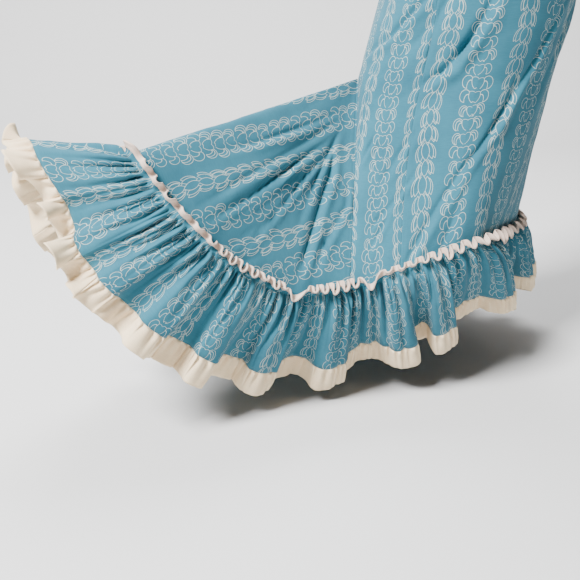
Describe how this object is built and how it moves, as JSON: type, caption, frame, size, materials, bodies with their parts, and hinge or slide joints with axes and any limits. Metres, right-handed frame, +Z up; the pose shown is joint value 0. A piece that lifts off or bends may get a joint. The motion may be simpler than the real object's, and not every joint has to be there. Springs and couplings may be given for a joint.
{
  "type": "holomuu dress",
  "caption": "Long fitted princess-seam dress, worn form and hollow, with short sleeves, a gored train drawn out behind, and a gathered flounce with a bound heading and a cream frill.",
  "frame": {"origin": "middle of the shoulder line, level with the neck points, where the wearer's shoulders hold the dress up", "axes": "+Z up, -Y the dress's front, -X the wearer's right, where the train is drawn out behind"},
  "size_m": [0.702, 0.8703, 1.4152],
  "materials": {
    "printed_cloth": "plain-weave cotton, turquoise with cream line garlands",
    "cream_binding": "plain cream cotton binding",
    "cream_frill": "thin plain cream cotton"
  },
  "bodies": {
    "root": {"front_center": "printed_cloth", "side_right": "printed_cloth", "side_left": "printed_cloth", "back_right": "printed_cloth", "back_left": "printed_cloth", "train_gore": "printed_cloth", "sleeve_right": "printed_cloth", "sleeve_left": "printed_cloth", "flounce_1": "printed_cloth", "flounce_2": "printed_cloth", "flounce_3": "printed_cloth", "flounce_4": "printed_cloth", "heading_binding_1": "cream_binding", "heading_binding_2": "cream_binding", "heading_binding_3": "cream_binding", "heading_binding_4": "cream_binding", "hem_frill_1": "cream_frill", "hem_frill_2": "cream_frill", "hem_frill_3": "cream_frill", "hem_frill_4": "cream_frill"}
  },
  "joints": []
}
